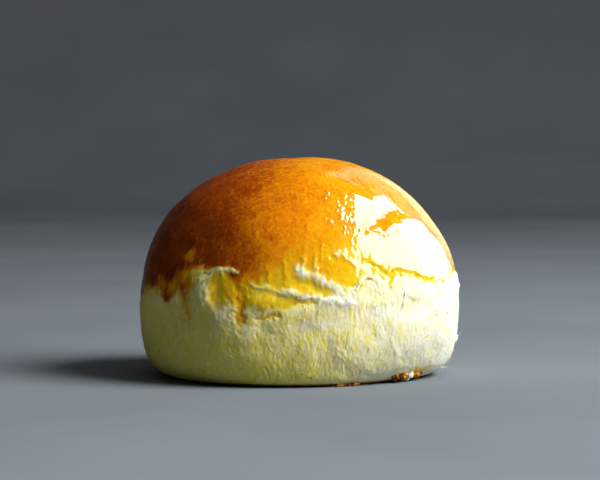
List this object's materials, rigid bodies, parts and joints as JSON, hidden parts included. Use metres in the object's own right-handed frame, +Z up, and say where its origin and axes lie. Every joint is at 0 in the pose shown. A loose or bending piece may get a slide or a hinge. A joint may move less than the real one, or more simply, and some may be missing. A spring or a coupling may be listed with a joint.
{
  "type": "brioche bun",
  "caption": "Round pull-apart brioche bun: a glossy egg-washed domed crust with a ragged edge over pale, fibrous torn sides, standing on a flat baked foot.",
  "frame": {"origin": "middle of the flat foot that the bun stands on", "axes": "+Z up through the dome, +X along the widest side to side, the shown side faces -Y"},
  "size_m": [0.075, 0.0724, 0.051],
  "materials": {
    "glazed_crust": "egg-washed, browned crust, amber to golden, finely blistered and glossy",
    "torn_crumb": "soft torn crumb, cream to pale yellow, fibrous and matte",
    "baked_bits": "caramelised dough along the foot and browned specks, satin"
  },
  "bodies": {
    "root": {"bun": "glazed_crust"}
  },
  "joints": []
}
